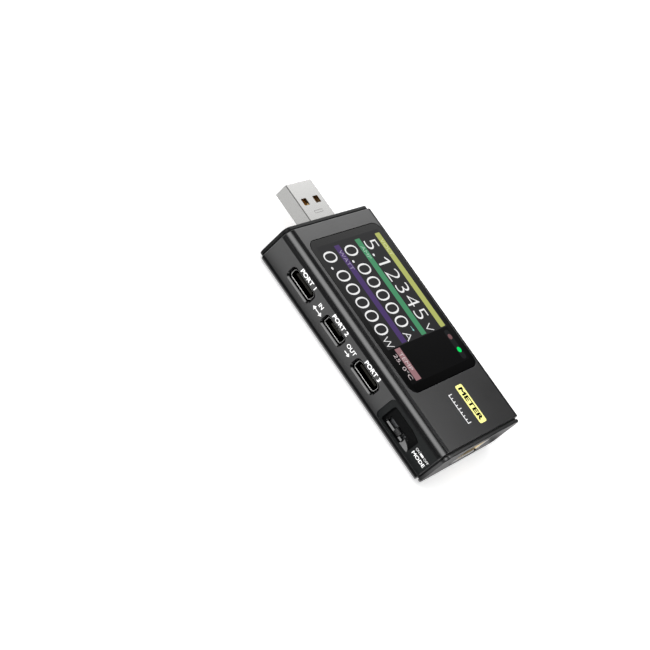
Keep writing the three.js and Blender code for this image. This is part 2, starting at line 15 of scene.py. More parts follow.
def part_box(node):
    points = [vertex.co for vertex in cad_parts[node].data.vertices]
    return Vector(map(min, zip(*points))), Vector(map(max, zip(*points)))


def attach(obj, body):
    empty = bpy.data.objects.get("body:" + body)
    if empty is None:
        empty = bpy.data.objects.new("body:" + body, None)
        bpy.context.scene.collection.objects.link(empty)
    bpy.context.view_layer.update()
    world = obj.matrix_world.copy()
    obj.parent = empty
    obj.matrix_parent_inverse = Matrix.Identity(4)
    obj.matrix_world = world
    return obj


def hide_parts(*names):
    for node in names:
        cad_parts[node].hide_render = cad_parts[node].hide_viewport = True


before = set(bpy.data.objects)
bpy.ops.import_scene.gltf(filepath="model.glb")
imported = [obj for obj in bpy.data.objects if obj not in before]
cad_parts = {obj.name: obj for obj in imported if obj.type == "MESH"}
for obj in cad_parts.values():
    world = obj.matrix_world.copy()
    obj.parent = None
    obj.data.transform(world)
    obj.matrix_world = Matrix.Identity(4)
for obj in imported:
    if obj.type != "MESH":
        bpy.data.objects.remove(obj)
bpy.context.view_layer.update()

MM = 0.001
case_low, case_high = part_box("front_housing")
ORIGIN = Vector((case_low.x, (case_low.y + case_high.y) / 2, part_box("back_cover")[0].z))


def local_box(node):
    """A CAD node's corners in millimetres on the meter's own axes."""
    low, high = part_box(node)
    return (low - ORIGIN) / MM, (high - ORIGIN) / MM


# ---- camera ---------------------------------------------------------------------------------

camera_data = bpy.data.cameras.new("camera")
camera_data.sensor_width = 36.0
camera_data.lens = 93.847
camera_data.clip_start = 0.01
camera_data.clip_end = 50.0
camera = bpy.data.objects.new("camera", camera_data)
camera.location = (0.07298, -0.37455, 0.25023)
camera.rotation_euler = [math.radians(a) for a in (44.598, -38.149, 44.349)]
bpy.context.scene.collection.objects.link(camera)
bpy.context.scene.camera = camera
bpy.context.scene.view_settings.view_transform = "Standard"

# ---- dimensions -----------------------------------------------------------------------------

LENGTH = (case_high.x - case_low.x) / MM
HEIGHT = case_high.z / MM
HALF = (case_high.y - case_low.y) / MM / 2
EDGE = 2.7  # radius of the four long edges
RIM = 0.22  # rounding of the case's two end rims
WALL_IN = HALF - 1.5  # inner face of a side wall
CEILING = HEIGHT - 1.8
PANEL = HALF - 0.35  # face of a recessed side panel
SEAM_BACK, SEAM_FRONT = 2.7, 2.75  # where the back cover ends and the front housing begins
RECESS_Z, RECESS_H = 6.7, 7.6
RECESS_START = {-1: 51.0, 1: 36.7}  # by side
PAST = 2.0  # how far a through cutter reaches beyond the case


# ---- mesh building --------------------------------------------------------------------------

def rounded_rect(cu, cv, w, h, r, grow=0.0, steps=6):
    """Points of a rectangle with round corners, all of it offset outwards by grow."""
    w, h, r = w + 2 * grow, h + 2 * grow, max(r + grow, 0.02)
    points = []
    for k, (su, sv) in enumerate(((1, -1), (1, 1), (-1, 1), (-1, -1))):
        for i in range(steps + 1):
            a = math.radians(-90 + 90 * k + 90 * i / steps)
            points.append((cu + su * (w / 2 - r) + r * math.cos(a), cv + sv * (h / 2 - r) + r * math.sin(a)))
    return points


def put(axis, pos, u, v):
    return {"x": (pos, u, v), "y": (u, pos, v), "z": (u, v, pos)}[axis]


def skin(rings, closed=False):
    """A closed mesh through rings of points; a closed one joins its last ring to its first."""
    bm = bmesh.new()
    loops = [[bm.verts.new(p) for p in ring] for ring in rings]
    count = len(rings[0])
    following = loops[1:] + loops[:1] if closed else loops[1:]
    for a, b in zip(loops, following):
        for i in range(count):
            j = (i + 1) % count
            bm.faces.new((a[i], a[j], b[j], b[i]))
    if not closed:
        bm.faces.new(loops[0][::-1])
        bm.faces.new(loops[-1])
    bmesh.ops.remove_doubles(bm, verts=bm.verts, dist=1e-4)
    bmesh.ops.recalc_face_normals(bm, faces=bm.faces)
    mesh = bpy.data.meshes.new("shape")
    bm.to_mesh(mesh)
    bm.free()
    return mesh


def loft(axis, cu, cv, w, h, r, profile, steps=6, closed=False):
    """A rounded rectangle carried along an axis; profile lists (position, outward offset)."""
    rings = []
    for pos, grow in profile:
        rings.append([put(axis, pos, u, v) for u, v in rounded_rect(cu, cv, w, h, r, grow, steps)])
    return skin(rings, closed)


def box(x0, x1, y0, y1, z0, z1):
    return loft("z", (x0 + x1) / 2, (y0 + y1) / 2, x1 - x0, y1 - y0, 0.02, [(z0, 0), (z1, 0)], 1)


def lip(plane, out, radius, steps=4):
    """Start of a cutter's profile that leaves a rounded edge where it enters a flat face."""
    made = [(plane + out * 1.5, radius)]
    for i in range(steps + 1):
        a = math.pi / 2 * i / steps
        made.append((plane + out * 0.002 - out * radius * (1 - math.cos(a)), radius * (1 - math.sin(a))))
    return made


def round_end(pos, inward, radius, steps=3, base=0.0):
    """Profile of a rounded end: from the end face inwards."""
    made = []
    for i in range(steps + 1):
        a = math.pi / 2 * i / steps
        made.append((pos + inward * radius * (1 - math.cos(a)), base - radius * (1 - math.sin(a))))
    return made


def evaluated(obj):
    depsgraph = bpy.context.evaluated_depsgraph_get()
    return bpy.data.meshes.new_from_object(obj.evaluated_get(depsgraph), depsgraph=depsgraph)


def scratch(data):
    obj = bpy.data.objects.new("scratch", data)
    bpy.context.scene.collection.objects.link(obj)
    return obj


def boolean(base, tools, operation="DIFFERENCE"):
    obj = scratch(base)
    helpers = [scratch(t) for t in tools]
    for helper in helpers:
        step = obj.modifiers.new("step", "BOOLEAN")
        step.operation = operation
        step.solver = "EXACT"
        step.object = helper
    mesh = evaluated(obj)
    for o in [obj] + helpers:
        bpy.data.objects.remove(o)
    return mesh


def bevelled(mesh, width, segments, angle):
    obj = scratch(mesh)
    step = obj.modifiers.new("step", "BEVEL")
    step.width = width
    step.segments = segments
    step.limit_method = "ANGLE"
    step.angle_limit = math.radians(angle)
    made = evaluated(obj)
    bpy.data.objects.remove(obj)
    return made


def merged(meshes):
    bm = bmesh.new()
    for mesh in meshes:
        bm.from_mesh(mesh)
    mesh = bpy.data.meshes.new("shape")
    bm.to_mesh(mesh)
    bm.free()
    return mesh


def piece(name, mesh, body, materials, replaces=(), sharp=32, paint=None):
    """Turns a millimetre mesh into a piece of the object on a CAD body."""
    bm = bmesh.new()
    bm.from_mesh(mesh)
    bmesh.ops.remove_doubles(bm, verts=bm.verts, dist=5e-4)
    bmesh.ops.dissolve_degenerate(bm, edges=bm.edges, dist=2e-4)
    for face in bm.faces:
        face.smooth = True
        face.material_index = paint(face) if paint else 0
    bmesh.ops.transform(bm, matrix=Matrix.Translation(ORIGIN) @ Matrix.Scale(MM, 4), verts=bm.verts)
    final = bpy.data.meshes.new(name)
    bm.to_mesh(final)
    bm.free()
    for material in materials if isinstance(materials, (list, tuple)) else [materials]:
        final.materials.append(material)
    final.set_sharp_from_angle(angle=math.radians(sharp))
    obj = bpy.data.objects.new(name, final)
    bpy.context.scene.collection.objects.link(obj)
    normals = obj.modifiers.new("normals", "WEIGHTED_NORMAL")
    normals.keep_sharp = True
    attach(obj, body)
    if replaces:
        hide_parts(*replaces)


# ---- materials ------------------------------------------------------------------------------

def finish(name, color, roughness, metallic=0.0, grain=4000.0, bump=0.15, vary=0.12, rough_vary=0.06,
           specular=0.5, brushed=None, emission=0.0, glow=None, wear=0.0):
    """A procedural finish: fine grain in the relief, cloudy colour and roughness, optional brushing."""
    material = bpy.data.materials.new(name)
    material.use_nodes = True
    tree = material.node_tree
    shader = next(n for n in tree.nodes if n.type == "BSDF_PRINCIPLED")
    shader.inputs["Metallic"].default_value = metallic
    shader.inputs["Specular IOR Level"].default_value = specular

    def node(kind, **values):
        made = tree.nodes.new(kind)
        for key, value in values.items():
            made.inputs[key].default_value = value
        return made

    def maths(operation, *values):
        made = tree.nodes.new("ShaderNodeMath")
        made.operation = operation
        for socket, value in zip(made.inputs, values):
            if isinstance(value, bpy.types.NodeSocket):
                tree.links.new(value, socket)
            else:
                socket.default_value = value
        return made.outputs[0]

    place = tree.nodes.new("ShaderNodeTexCoord")
    stretch = tree.nodes.new("ShaderNodeMapping")
    stretch.inputs["Scale"].default_value = brushed or (1, 1, 1)
    tree.links.new(place.outputs["Object"], stretch.inputs["Vector"])
    fine = node("ShaderNodeTexNoise", Scale=grain, Detail=3.0, Roughness=0.6)
    cloud = node("ShaderNodeTexNoise", Scale=140.0, Detail=4.0, Roughness=0.55)
    tree.links.new(stretch.outputs["Vector"], fine.inputs["Vector"])
    tree.links.new(place.outputs["Object"], cloud.inputs["Vector"])

    tone = tree.nodes.new("ShaderNodeValToRGB")
    tone.color_ramp.elements[0].position = 0.3
    tone.color_ramp.elements[1].position = 0.7
    tone.color_ramp.elements[0].color = [c * (1 - vary) for c in color] + [1]
    tone.color_ramp.elements[1].color = [min(1.0, c * (1 + vary)) for c in color] + [1]
    blend = maths("ADD", *[maths("MULTIPLY", noise.outputs["Fac"], 0.5) for noise in (fine, cloud)])
    tree.links.new(blend, tone.inputs["Fac"])
    out_color = tone.outputs["Color"]

    if wear > 0:
        # Handled edges: the two end rims of the case are rubbed slightly lighter, in patches.
        split = tree.nodes.new("ShaderNodeSeparateXYZ")
        tree.links.new(place.outputs["Object"], split.inputs[0])
        distance = maths("ABSOLUTE", maths("SUBTRACT", split.outputs["X"], ORIGIN.x + LENGTH * MM / 2))
        near = node("ShaderNodeMapRange")
        near.inputs["From Min"].default_value = (LENGTH / 2 - 0.3) * MM
        near.inputs["From Max"].default_value = (LENGTH / 2 - 0.05) * MM
        tree.links.new(distance, near.inputs["Value"])
        patches = maths("MULTIPLY", near.outputs["Result"], cloud.outputs["Fac"])
        rub = tree.nodes.new("ShaderNodeMix")
        rub.data_type = "RGBA"
        rub.inputs["B"].default_value = [min(1.0, c + wear) for c in color] + [1]
        tree.links.new(patches, rub.inputs["Factor"])
        tree.links.new(out_color, rub.inputs["A"])
        out_color = rub.outputs["Result"]
    tree.links.new(out_color, shader.inputs["Base Color"])

    rough = node("ShaderNodeMapRange")
    rough.inputs["To Min"].default_value = max(0.02, roughness - rough_vary)
    rough.inputs["To Max"].default_value = min(1.0, roughness + rough_vary)
    tree.links.new(blend, rough.inputs["Value"])
    tree.links.new(rough.outputs["Result"], shader.inputs["Roughness"])

    relief = node("ShaderNodeBump", Strength=bump, Distance=0.00002)
    tree.links.new(fine.outputs["Fac"], relief.inputs["Height"])
    tree.links.new(relief.outputs["Normal"], shader.inputs["Normal"])
    # Emission makes a finish's own colour glow: painted light on the inks and on the socket's inner walls.
    if emission > 0:
        tree.links.new(out_color, shader.inputs["Emission Color"])
        shader.inputs["Emission Strength"].default_value = emission
    if glow:
        light = tree.nodes.new("ShaderNodeValToRGB")
        light.color_ramp.elements[0].color = [c * 0.95 for c in glow] + [1]
        light.color_ramp.elements[1].color = [c * 1.05 for c in glow] + [1]
        tree.links.new(blend, light.inputs["Fac"])
        tree.links.new(light.outputs["Color"], shader.inputs["Emission Color"])
        shader.inputs["Emission Strength"].default_value = 1.0
    return material


CASE_COLOR = (0.0075, 0.0077, 0.0083)
case_finish = finish("case_satin", CASE_COLOR, 0.33, grain=3200, bump=0.22, vary=0.15, specular=1.0,
                     wear=0.03)
edge_finish = finish("case_edge", CASE_COLOR, 0.23, grain=3200, bump=0.12, vary=0.15, specular=1.0,
                     wear=0.03)
slope_finish = finish("case_edge_slope", CASE_COLOR, 0.3, grain=3200, bump=0.12, vary=0.15, specular=0.5)
shoulder_finish = finish("case_edge_shoulder", CASE_COLOR, 0.4, grain=3200, bump=0.12, vary=0.15,
                         specular=0.15)
panel_finish = finish("panel_matte", (0.008, 0.0098, 0.0102), 0.42, grain=3200, bump=0.22, specular=0.22)
cap_finish = finish("end_plate_satin", (0.006, 0.0062, 0.0068), 0.46, grain=3200, bump=0.22, specular=0.24)
cap_ring_finish = finish("end_plate_ring", CASE_COLOR, 0.33, grain=3200, bump=0.2, specular=1.0)
# Darker, duller finish on the end plates' rounded edges and groove: painted shade.
cap_edge_painted_shade = finish("end_plate_painted_shade", (0.004, 0.0042, 0.0045), 0.42, grain=3200, bump=0.15, specular=0.2)
gloss_finish = finish("port_mouth_gloss", (0.003, 0.003, 0.0034), 0.17, grain=2500, bump=0.05, specular=1.0)
# Dark finish that barely reflects, for the inside of the switch scoop and the recess's upper lip: painted
# shade.
pocket_painted_shade = finish("switch_pocket_painted_shade", (0.003, 0.0032, 0.0034), 0.35, grain=2500, bump=0.1, specular=0.07)
lens_finish = finish("lens_acrylic", (0.0012, 0.0012, 0.0013), 0.10, grain=900, bump=0.01, rough_vary=0.02,
                     specular=0.12)
# Darker steel for the plug shell's folded corners: a painted dark reflection.
steel_edge = finish("plug_fold_painted_dark_reflection", (0.14, 0.14, 0.137), 0.3, 1.0, 9000, 0.03, 0.05, 0.03)
steel_finish = finish("plated_steel", (0.375, 0.373, 0.366), 0.26, 1.0, 9000, 0.03, 0.03, 0.03,
                      brushed=(0.15, 1, 1))
# Port sleeves: the steel is painted dark as shade inside the mouths, and the inward half of each rim carries
# a painted highlight.
port_steel = finish("port_steel", (0.03, 0.03, 0.031), 0.25, 1.0, 6000, 0.03, 0.06, 0.04)
port_rim_painted_highlight = finish("port_rim_painted_highlight", (0.46, 0.46, 0.45), 0.2, 1.0, 6000, 0.03, 0.06, 0.04)
dark_steel = finish("screw_steel", (0.24, 0.245, 0.25), 0.24, 1.0, 2200, 0.08, 0.2, 0.08)
gold_finish = finish("gold_contact", (0.80, 0.52, 0.20), 0.26, 1.0, 2600, 0.05, 0.08, 0.06)
orange_finish = finish("orange_resin", (0.72, 0.33, 0.07), 0.45, grain=2600, bump=0.12)
dark_plastic = finish("dark_resin", (0.011, 0.010, 0.005), 0.5, grain=3000, bump=0.2, specular=0.3)
key_finish = finish("key_plastic", (0.008, 0.0083, 0.009), 0.24, grain=3000, bump=0.12, specular=0.8)
label_finish = finish("label_film", (0.030, 0.031, 0.032), 0.5, grain=5200, bump=0.1)
# The white legend ink also glows a little: painted light that brightens it.
ink_painted_glow = finish("legend_ink_painted_glow", (0.86, 0.86, 0.86), 0.5, grain=5200, bump=0.05, vary=0.05, emission=0.4)
# The yellow tag colour also glows a little: painted light.
tag_painted_glow = finish("tag_ink_painted_glow", (0.93, 0.90, 0.32), 0.5, grain=5200, bump=0.05, vary=0.05, specular=0.1,
                    emission=0.45)
# The socket's warm inner-wall colour is a painted reflection of the orange tongue, and it glows faintly:
# painted light.
socket_wall_painted_reflection = finish("socket_painted_reflection_glow", (0.70, 0.57, 0.34), 0.34, metallic=0.8, grain=5200, bump=0.08,
                       specular=0.6, emission=0.10)
tag_text_finish = finish("tag_lettering", (0.008, 0.008, 0.006), 0.5, grain=5200, bump=0.05, specular=0.2)
rating_ink = finish("rating_ink", (0.42, 0.42, 0.42), 0.5, grain=5200, bump=0.05, vary=0.1)
white_plastic = finish("white_resin", (0.7, 0.7, 0.68), 0.5, grain=2600, bump=0.1)
board_finish = finish("solder_mask", (0.006, 0.05, 0.018), 0.35, grain=1800, bump=0.1, vary=0.25)
chip_finish = finish("chip_epoxy", (0.012, 0.012, 0.013), 0.55, grain=3400, bump=0.2)
ferrite_finish = finish("ferrite", (0.035, 0.035, 0.036), 0.7, grain=2400, bump=0.4)
ribbon_finish = finish("ribbon_film", (0.42, 0.17, 0.03), 0.35, grain=1200, bump=0.05)
foam_finish = finish("gasket_foam", (0.012, 0.012, 0.012), 0.9, grain=5200, bump=0.5)
glass_finish = finish("panel_glass", (0.02, 0.021, 0.023), 0.08, grain=800, bump=0.01)


def lit(name, glow):
    """A lit area of the display: it gives its own light and reflects almost nothing."""
    return finish(name, (0.002, 0.002, 0.002), 0.12, grain=6000, bump=0.01, rough_vary=0.02, specular=0.02,
                  glow=glow)


# ---- case -----------------------------------------------------------------------------------

def hull():
    profile = round_end(0, 1, RIM) + round_end(LENGTH, -1, RIM)[::-1]
    return loft("x", 0, HEIGHT / 2, 2 * HALF, HEIGHT, EDGE, profile, 16)


def side_recess(side):
    """The shallow recess that runs out through the socket end of one side."""
    start, end = RECESS_START[side], LENGTH + 5
    profile = lip(side * HALF, side, 0.12) + [(side * (PANEL + 0.05), 0), (side * PANEL, -0.05)]
    return loft("y", (start + end) / 2, RECESS_Z, end - start, RECESS_H, 1.4, profile, 6)


def rim_bevel(side):
    """Takes the sharp corner off the socket-end rim where a side recess runs out through it."""
    size = 0.28
    corner = [(LENGTH - size, side * (PANEL + 0.02)), (LENGTH + 0.1, side * (PANEL - size - 0.08))]
    corner += [(LENGTH + 0.1, side * (PANEL + 0.3)), (LENGTH - size, side * (PANEL + 0.3))]
    return skin([[(x, y, z) for x, y in corner] for z in (RECESS_Z - 3.75, RECESS_Z + 3.75)])


def chamfer(plane, out, width, depth):
    """Start of a cutter's profile that leaves a flat chamfer, softened where it meets the two faces."""
    return [(plane + out * 1.5, width), (plane + out * 0.002, width), (plane - out * 0.05, width - 0.06),
            (plane - out * depth, 0.03), (plane - out * (depth + 0.06), 0)]


def port_hole(x, z, side, w, h, r):
    profile = chamfer(side * HALF, side, 0.42, 0.36) + [(side * (WALL_IN - 1), 0)]
    return loft("y", x, z, w + 0.35, h + 0.35, r - 0.15, profile, 8)


def round_hole(x, z, radius, plane, edge, steps):
    """A hole through the +Y wall, with a rounded edge."""
    return loft("y", x, z, 2 * radius, 2 * radius, radius, lip(plane, 1, edge) + [(plane - 3, 0)], steps)


PORTS = []
for port_name in ("port_1", "port_2", "port_3", "data_port"):
    low, high = local_box(f"{port_name}_shell")
    tall = high.z - low.z > 2.9  # the reversible ports; the micro port is lower
    PORTS.append({
        "name": port_name, "x": (low.x + high.x) / 2, "z": (low.z + high.z) / 2,
        "w": high.x - low.x, "h": high.z - low.z, "side": 1 if high.y > 0 else -1,
        "r": 1.15 if tall else 0.75, "sheet": 0.35 if tall else 0.3,
        "mouth": high.y if high.y > 0 else low.y, "rear": low.y if high.y > 0 else high.y,
    })

SLOT = {"x": 57.4, "z": 4.85, "w": 6.6, "h": 1.8}
POCKET_FLOOR = -PANEL + 0.7
SCOOP_START, RAMP_START, SCOOP_END = 52.6, 60.6, 64.0
WHEEL_SLOT = {"x": 47.25, "z": 7.25, "w": 14.9, "h": 3.3}
BUTTON_X, BUTTON_Z = 60.5, 7.3
PINHOLE_X, PINHOLE_Z = 33.0, 4.4


def switch_scoop():
    """The scoop round the slide switch: steep on three sides, and a finger ramp at the socket end.

    The ramp's lower side leans upwards over a shallow gutter. Each row is a section across the case: x,
    depth, lower and upper edge, how far up the lower side's slope reaches, and the gutter's extra depth.
    """
    rings = []
    for x, depth, z0, z1, slope, gutter in (
        (52.70, -0.12, 4.2, 8.6, 0.06, 0), (52.85, 0.10, 3.75, 9.05, 0.06, 0),
        (53.05, 0.32, 3.5, 9.3, 0.1, 0), (53.30, 0.56, 3.42, 9.38, 0.14, 0),
        (53.60, 0.70, 3.40, 9.40, 0.16, 0), (60.55, 0.70, 3.40, 9.40, 0.16, 0),
        (60.70, 0.70, 3.40, 9.38, 1.45, 0.26), (61.60, 0.64, 3.41, 9.2, 1.3, 0.26),
        (62.50, 0.52, 3.42, 9.05, 1.1, 0.24), (63.20, 0.34, 3.44, 8.9, 0.85, 0.18),
        (63.60, 0.16, 3.46, 8.8, 0.55, 0.1), (63.85, -0.12, 3.5, 8.7, 0.06, 0),
    ):
        bottom = -PANEL + depth
        section = [(-PANEL - 1, z0), (-PANEL - 0.15, z0), (bottom + gutter - 0.04, z0 + slope)]
        section += [(bottom + gutter - 0.01, z0 + slope * 1.3)]
        section += [(bottom, z0 + slope * 1.8), (bottom, z1 - 0.75), (-PANEL - 0.15, z1), (-PANEL - 1, z1)]
        rings.append([(x, y, z) for y, z in section])
    return skin(rings)


lens_low, lens_high = local_box("display_lens")
LENS_C = ((lens_low.x + lens_high.x) / 2, (lens_low.y + lens_high.y) / 2)
LENS_W, LENS_H = lens_high.x - lens_low.x, lens_high.y - lens_low.y

front_cuts = [
    box(-PAST, LENGTH + PAST, -HALF - 1, HALF + 1, -1, SEAM_FRONT),
    box(-PAST, LENGTH + PAST, -WALL_IN, WALL_IN, 1, CEILING),
    loft("z", *LENS_C, LENS_W + 0.2, LENS_H + 0.2, 3.1, lip(HEIGHT, 1, 0.1) + [(12.0, 0)], 8),
    loft("z", *LENS_C, LENS_W - 3.2, LENS_H - 2.8, 1.8, [(HEIGHT, 0), (CEILING - 1, 0)], 4),
    side_recess(-1),
    side_recess(1),
    rim_bevel(-1),
    rim_bevel(1),
]
front_cuts += [port_hole(p["x"], p["z"], p["side"], p["w"], p["h"], p["r"]) for p in PORTS]
front_cuts += [
    switch_scoop(),
    loft("y", SLOT["x"], SLOT["z"], SLOT["w"] - 0.3, SLOT["h"] - 0.3, 0.25,
         chamfer(POCKET_FLOOR, -1, 0.42, 0.36) + [(-WALL_IN + 1, 0)], 5),
    loft("y", WHEEL_SLOT["x"], WHEEL_SLOT["z"], WHEEL_SLOT["w"], WHEEL_SLOT["h"], 1.64,
         lip(PANEL, 1, 0.3, 5) + [(WALL_IN - 1, 0)], 10),
    round_hole(BUTTON_X, BUTTON_Z, 2.95, PANEL, 0.16, 12),
    round_hole(PINHOLE_X, PINHOLE_Z, 0.55, HALF, 0.12, 6),
]


def long_edge(face, crown, flat=0):
    """Picks a slot across one of the rounded long edges: crown, then slope, then shoulder, then flat.

    Slope and shoulder reflect less than the crown, which gives the highlight soft sides.
    """
    c, n = face.calc_center_median(), face.normal
    if abs(c.y) < HALF - EDGE or EDGE < c.z < HEIGHT - EDGE or abs(n.x) > 0.3 or n.z * (c.z - HEIGHT / 2) < 0:
        return flat
    steepest = max(abs(n.y), abs(n.z))
    return flat if steepest > 0.9997 else crown + (2 if steepest > 0.955 else 1 if steepest > 0.88 else 0)


CASE, DULL, GLOSS, DARK, CROWN = range(5)


def case_paint(face):
    """How much each part of the case reflects.

    Most at port mouths, in the switch slot and on the up-facing part of the scoop's ramp. Least in the rest
    of the scoop and along the recess's upper lip: that dark, dull finish is painted shade.
    """
    c, n = face.calc_center_median(), face.normal
    if c.x > LENGTH - RIM - 0.01 and n.x > 0.2:
        return CASE
    edge = long_edge(face, CROWN)
    if edge:
        return edge
    if 2.9 < c.z < 10.3 and SCOOP_START < c.x < SCOOP_END and -PANEL + 0.01 < c.y < -18.0:
        on_ramp = c.x > RAMP_START and n.z > 0.15
        return GLOSS if c.y > POCKET_FLOOR + 0.01 or on_ramp else DARK
    if RECESS_Z - 3.9 < c.z < RECESS_Z + 3.95 and abs(c.y) > 18.5:
        start = RECESS_START[-1 if c.y < 0 else 1]
        if c.x > start - 0.02 and c.z > RECESS_Z + 3.5:
            return DARK
        if c.x > start - 0.02 and abs(c.y) < HALF - 0.02:
            return DULL
        if c.x < start and abs(n.y) < 0.995 and abs(c.y) < HALF - 0.001:
            return GLOSS
    return CASE


front = boolean(hull(), front_cuts)
CASE_FINISHES = [case_finish, panel_finish, gloss_finish, pocket_painted_shade, edge_finish, slope_finish,
                 shoulder_finish]
piece("housing_front", front, "meter_case", CASE_FINISHES, ["front_housing"],
      paint=case_paint)

SCREWS = []
for i in range(1, 5):
    low, high = local_box(f"case_screw_{i}")
    SCREWS.append(((low.x + high.x) / 2, (low.y + high.y) / 2))


def turned(x, y, profile):
    """A round solid about an upright axis; profile lists (height, radius)."""
    rings = []
    for z, radius in profile:
        rings.append([(u, v, z) for u, v in rounded_rect(x, y, 2 * radius, 2 * radius, radius, 0, 8)])
    return skin(rings)


SEAT_PROFILE = ((-1, 2.2), (-0.002, 2.2), (0.03, 2.15), (0.1, 2.1), (0.36, 2.1), (1.45, 1.1), (4, 1.1))
SCREW_PROFILE = ((0.40, 0.02), (0.40, 1.6), (0.42, 1.8), (0.5, 1.88), (1.4, 0.95), (5.9, 0.95), (6.75, 0.3))


back = boolean(hull(), [
    box(-PAST, LENGTH + PAST, -HALF - 1, HALF + 1, SEAM_BACK, HEIGHT + 1),
    box(-PAST, LENGTH + PAST, -WALL_IN, WALL_IN, 1.5, HEIGHT),
    loft("z", 26.9, 0, 31.2, 26.0, 3.0, lip(0, -1, 0.12) + [(0.25, 0), (0.3, -0.05)], 8),
])
back = boolean(back, [box(x - 2.4, x + 2.4, y - 2.4, y + 2.4, 1.0, 2.65) for x, y in SCREWS], "UNION")
back = boolean(back, [turned(x, y, SEAT_PROFILE) for x, y in SCREWS])
piece("cover_back", back, "meter_case",
      [case_finish, edge_finish, slope_finish, shoulder_finish], ["back_cover"],
      paint=lambda face: long_edge(face, 1))


def screw_mesh(x, y):
    """A countersunk screw seen from the back: rounded head rim, cross recess with tapered slots."""
    cross = []
    for w, h in ((2.2, 0.5), (0.5, 2.2)):
        cross.append(loft("z", x, y, w, h, 0.1, [(-0.5, 0.12), (0.40, 0.06), (0.95, -0.12)], 3))
    return boolean(turned(x, y, SCREW_PROFILE), cross)


for i, (x, y) in enumerate(SCREWS):
    piece(f"screw_{i + 1}", screw_mesh(x, y), "meter_case", dark_steel,
          [f"case_screw_{i + 1}"])


# ---- end plates -----------------------------------------------------------------------------

def end_plate(inner, out, hole_w, hole_h, hole_z):
    """A plate with a groove between it and the case, a spigot inside the case, and a connector hole."""
    outer = inner + out * 1.4
    profile = round_end(outer, -out, 0.3, 3, -0.6)
    profile += [(inner + out * 0.5, -0.6), (inner + out * 0.45, -0.95), (inner + out * 0.05, -0.95)]
    plate = loft("x", 0, HEIGHT / 2, 2 * HALF, HEIGHT, EDGE, profile, 12)
    spigot_ends = [(inner + out * 0.2, 0), (inner - out * 1.6, 0)]
    spigot = loft("x", 0, 6.5, 2 * WALL_IN - 0.2, 9.7, 0.9, spigot_ends, 4)
    body = boolean(plate, [spigot], "UNION")
    hole = loft("x", 0, hole_z, hole_w, hole_h, 0.3, lip(outer, out, 0.14) + [(inner - out * 4, 0)], 4)
    return boolean(body, [hole])


plug_low, plug_high = local_box("plug_shell")
PLUG_Z = (plug_low.z + plug_high.z) / 2
socket_low, socket_high = local_box("socket_shell")
SOCKET_Z = (socket_low.z + socket_high.z) / 2


def plug_plate_paint(face):
    """Rounded edges are painted a little darker than the flat faces: painted shade."""
    return 1 if 0.1 < abs(face.normal.x) < 0.97 else 0


def socket_plate_paint(face):
    """The outer face is satin, the ring round it shinier, the groove and what lies behind it carry painted
    shade.
    """
    if face.normal.x > 0.97:
        return 0
    return 2 if face.normal.x > -0.1 and face.calc_center_median().x > LENGTH + 0.5 else 1


piece("end_plate_plug", end_plate(0, -1, 12.2, 4.7, PLUG_Z), "meter_case",
      [cap_finish, cap_edge_painted_shade], ["plug_end_plate"], paint=plug_plate_paint)
piece("end_plate_socket", end_plate(LENGTH, 1, 14.7, 7.3, SOCKET_Z), "meter_case",
      [cap_finish, cap_edge_painted_shade, cap_ring_finish], ["socket_end_plate"], paint=socket_plate_paint)


# ---- plug and socket ------------------------------------------------------------------------

def plug_shell():
    """A folded sheet-steel shell: rolled tip, two latch windows in each wide face, a pressed mark."""
    tip, rear = plug_low.x, plug_high.x
    sheet = 0.3
    profile = [(rear, 0), (tip + 0.4, 0), (tip + 0.10, 0), (tip + 0.03, -0.025), (tip, -0.08)]
    profile += [(tip, -0.2), (tip + 0.03, -0.27), (tip + 0.1, -sheet), (rear, -sheet)]
    shell = loft("x", 0, PLUG_Z, plug_high.y - plug_low.y, plug_high.z - plug_low.z, 0.26, profile, 5, True)
    cuts = []
    for y in (-2.75, 2.75):
        cuts.append(loft("z", -7.7, y, 2.2, 2.4, 0.15, [(plug_low.z - 1, 0), (plug_high.z + 1, 0)], 3))
    top = plug_high.z
    ring = [(top + 0.5, 0.05), (top - 0.1, 0.05), (top - 0.1, -0.05), (top + 0.5, -0.05)]
    cuts.append(loft("z", -4.1, 0.1, 0.75, 3.6, 0.15, ring, 3, True))
    return boolean(shell, cuts)


def fold_paint(face):
    """The folded corners of the shell carry a painted dark reflection, darker than its flat faces."""
    n = face.normal
    return 1 if max(abs(n.y), abs(n.z)) < 0.96 and abs(n.x) < 0.5 else 0


piece("plug_sleeve", plug_shell(), "meter_case", [steel_finish, steel_edge], ["plug_shell"],
      sharp=40, paint=fold_paint)


def socket_shell():
    """The socket's sleeve: four flared lips with open corners between them."""
    mouth, rear = socket_high.x, socket_low.x
    profile = [(rear, 0), (mouth - 0.9, 0), (mouth - 0.55, 0.08), (mouth - 0.3, 0.3), (mouth - 0.22, 0.62)]
    profile += [(mouth - 0.14, 0.7), (mouth - 0.05, 0.68), (mouth, 0.58), (mouth - 0.03, 0.3)]
    profile += [(mouth - 0.2, 0.05), (mouth - 0.5, -0.2), (mouth - 0.9, -0.3), (rear, -0.3)]
    shell = loft("x", 0, SOCKET_Z, 13.1, 5.7, 0.5, profile, 5, True)
    corners = []
    for side, up in ((-1, -1), (-1, 1), (1, -1), (1, 1)):
        y, z = sorted((side * 6.3, side * 8)), sorted((SOCKET_Z + up * 2.6, SOCKET_Z + up * 4.2))
        corners.append(box(mouth - 0.75, mouth + 1, *y, *z))
    return boolean(shell, corners)


def socket_paint(face):
    """The socket's inner walls carry a painted warm reflection of the orange tongue, the rest is bare steel.
    """
    away = Vector((0, 0, SOCKET_Z)) - face.calc_center_median()
    inward = away.y * face.normal.y + away.z * face.normal.z > 0
    return 1 if inward and abs(face.normal.x) < 0.8 else 0


piece("socket_sleeve", socket_shell(), "meter_case", [steel_finish, socket_wall_painted_reflection],
      ["socket_shell"], sharp=40, paint=socket_paint)

